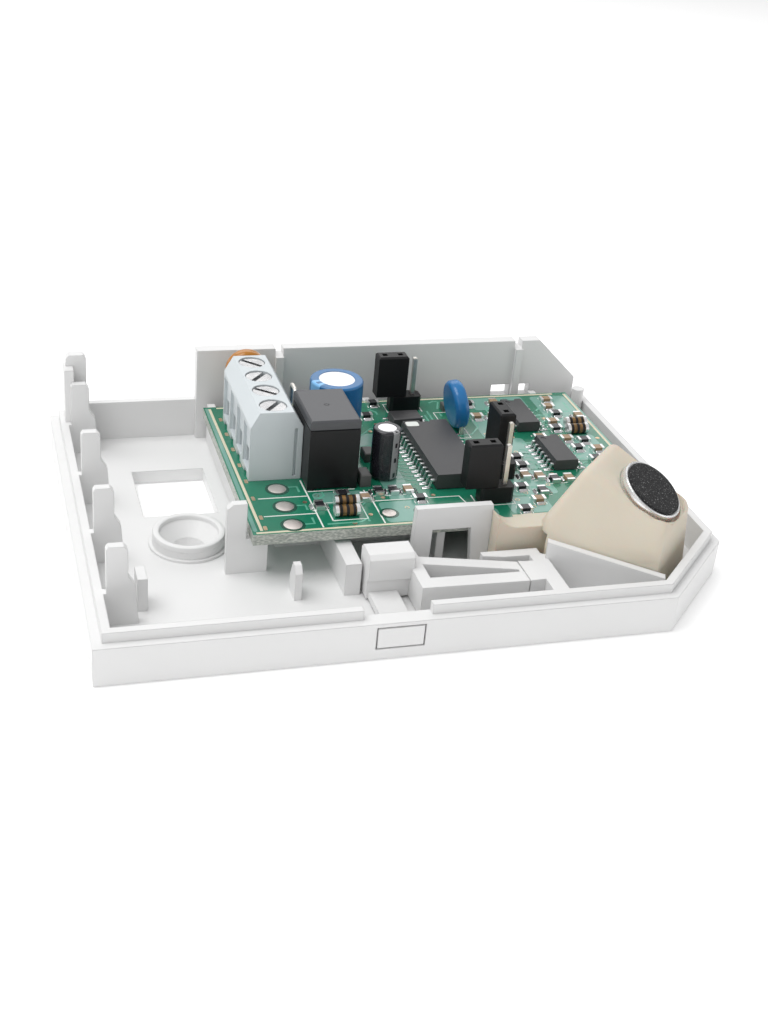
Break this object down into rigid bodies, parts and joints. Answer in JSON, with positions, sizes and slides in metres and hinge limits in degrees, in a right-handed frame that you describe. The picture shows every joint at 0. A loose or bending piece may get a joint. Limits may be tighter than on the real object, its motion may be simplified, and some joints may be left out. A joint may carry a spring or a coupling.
{
  "type": "glass break sensor",
  "caption": "Open acoustic glass break sensor: shallow tray with a cut corner, wired circuit board, terminal block, relay and a microphone in a wedge-shaped rubber boot.",
  "frame": {"origin": "middle of the tray's back face, at the foot of the bounding box", "axes": "+X towards the microphone and the cut corner, +Y towards the tall wall, +Z out of the wall that the tray is screwed to, towards the room"},
  "size_m": [0.091, 0.065, 0.0198],
  "materials": {
    "tray_plastic": "fine moulded texture",
    "latch_plastic": "fine moulded texture",
    "board_laminate": "solder resist over copper tracks",
    "solder_tin": "tinned",
    "terminal_plastic": "satin moulding",
    "plated_steel": "zinc plated",
    "tinned_brass": "tinned",
    "relay_black": "satin moulding",
    "relay_grey": "satin moulding",
    "bobbin_plastic": "natural moulding",
    "winding_copper": "enamelled wire",
    "soft_iron": "plated",
    "sleeve_blue": "shrunk sleeve",
    "sleeve_black": "shrunk sleeve",
    "can_aluminium": "drawn",
    "disc_blue": "dipped coat",
    "disc_orange": "dipped coat",
    "header_black": "moulded",
    "pin_plating": "plated",
    "package_black": "moulded",
    "resistor_black": "glazed top",
    "capacitor_tan": "fired",
    "diode_body": "banded",
    "tantalum_grey": "moulded",
    "boot_rubber": "soft moulded",
    "felt": "pressed",
    "foil": "metallised film",
    "wire_sleeve": "insulation"
  },
  "bodies": {
    "sensor": {"base_tray": "tray_plastic", "circuit_board": "board_laminate", "solder_joints": "solder_tin", "test_pads": "solder_tin", "terminal_housing": "terminal_plastic", "terminal_contacts": "tinned_brass", "relay_case": "relay_black", "relay_lid": "relay_grey", "relay_pins": "solder_tin", "relay_bobbin": "bobbin_plastic", "relay_winding": "winding_copper", "relay_yoke": "soft_iron", "relay_fixed_contacts": "tinned_brass", "electrolytic_sleeve": "sleeve_blue", "electrolytic_can": "can_aluminium", "small_capacitor_sleeve": "sleeve_black", "small_capacitor_can": "can_aluminium", "capacitor_leads": "solder_tin", "blue_disc_capacitor": "disc_blue", "orange_disc_varistor": "disc_orange", "disc_leads": "solder_tin", "wire_link": "solder_tin", "header_bases": "header_black", "header_pins": "pin_plating", "wide_ic_body": "package_black", "wide_ic_leads": "solder_tin", "narrow_ic_bodies": "package_black", "narrow_ic_leads": "solder_tin", "chip_resistors": "resistor_black", "chip_capacitors": "capacitor_tan", "chip_end_caps": "solder_tin", "melf_diodes": "diode_body", "tantalum_capacitors": "tantalum_grey", "mic_boot": "boot_rubber", "mic_can": "can_aluminium", "mic_felt": "felt", "mic_diaphragm": "foil", "mic_backplate": "soft_iron", "mic_spacer": "bobbin_plastic", "mic_amplifier_board": "board_laminate", "mic_leads": "wire_sleeve"},
    "latch": {"release_latch": "latch_plastic"},
    "armature": {"relay_armature": "soft_iron", "relay_blade": "tinned_brass"},
    "screw_1": {"terminal_screw_1": "plated_steel"},
    "cage_1": {"wire_cage_1": "plated_steel"},
    "screw_2": {"terminal_screw_2": "plated_steel"},
    "cage_2": {"wire_cage_2": "plated_steel"},
    "screw_3": {"terminal_screw_3": "plated_steel"},
    "cage_3": {"wire_cage_3": "plated_steel"},
    "screw_4": {"terminal_screw_4": "plated_steel"},
    "cage_4": {"wire_cage_4": "plated_steel"},
    "shunt_1": {"shunt_housing_1": "header_black", "shunt_contact_1": "tinned_brass"},
    "shunt_2": {"shunt_housing_2": "header_black", "shunt_contact_2": "tinned_brass"},
    "shunt_3": {"shunt_housing_3": "header_black", "shunt_contact_3": "tinned_brass"}
  },
  "joints": [
    {"name": "latch_release", "type": "hinge", "parent": "sensor", "child": "latch", "pos_m": [0.0154, -0.0251, 0.0045], "axis": [0, 0, -1], "range_deg": [0, 3.5], "stiffness_Nm_per_rad": 1.6},
    {"name": "armature_rock", "type": "hinge", "parent": "sensor", "child": "armature", "pos_m": [-0.0089, 0.0036, 0.01564], "axis": [1, 0, 0], "range_deg": [0, 3.2], "stiffness_Nm_per_rad": 0.004},
    {"name": "screw_1_turn", "type": "hinge", "parent": "sensor", "child": "screw_1", "pos_m": [-0.01656, 0.00304, 0.017], "axis": [0, 0, -1], "range_deg": [0, 1300]},
    {"name": "cage_1_rise", "type": "slide", "parent": "sensor", "child": "cage_1", "axis": [0, 0, 1], "range_m": [0, 0.0018]},
    {"name": "screw_2_turn", "type": "hinge", "parent": "sensor", "child": "screw_2", "pos_m": [-0.01656, 0.00812, 0.017], "axis": [0, 0, -1], "range_deg": [0, 1300]},
    {"name": "cage_2_rise", "type": "slide", "parent": "sensor", "child": "cage_2", "axis": [0, 0, 1], "range_m": [0, 0.0018]},
    {"name": "screw_3_turn", "type": "hinge", "parent": "sensor", "child": "screw_3", "pos_m": [-0.01656, 0.0132, 0.017], "axis": [0, 0, -1], "range_deg": [0, 1300]},
    {"name": "cage_3_rise", "type": "slide", "parent": "sensor", "child": "cage_3", "axis": [0, 0, 1], "range_m": [0, 0.0018]},
    {"name": "screw_4_turn", "type": "hinge", "parent": "sensor", "child": "screw_4", "pos_m": [-0.01656, 0.01828, 0.017], "axis": [0, 0, -1], "range_deg": [0, 1300]},
    {"name": "cage_4_rise", "type": "slide", "parent": "sensor", "child": "cage_4", "axis": [0, 0, 1], "range_m": [0, 0.0018]},
    {"name": "shunt_1_pull", "type": "slide", "parent": "sensor", "child": "shunt_1", "axis": [0, 0, 1], "range_m": [0, 0.0085]},
    {"name": "shunt_2_pull", "type": "slide", "parent": "sensor", "child": "shunt_2", "axis": [0, 0, 1], "range_m": [0, 0.0085]},
    {"name": "shunt_3_pull", "type": "slide", "parent": "sensor", "child": "shunt_3", "axis": [0, 0, 1], "range_m": [0, 0.0085]}
  ],
  "couplings": [
    {"joint": "screw_1_turn", "follows": "cage_1_rise", "rad_per_m": 12566},
    {"joint": "screw_2_turn", "follows": "cage_2_rise", "rad_per_m": 12566},
    {"joint": "screw_3_turn", "follows": "cage_3_rise", "rad_per_m": 12566},
    {"joint": "screw_4_turn", "follows": "cage_4_rise", "rad_per_m": 12566}
  ]
}
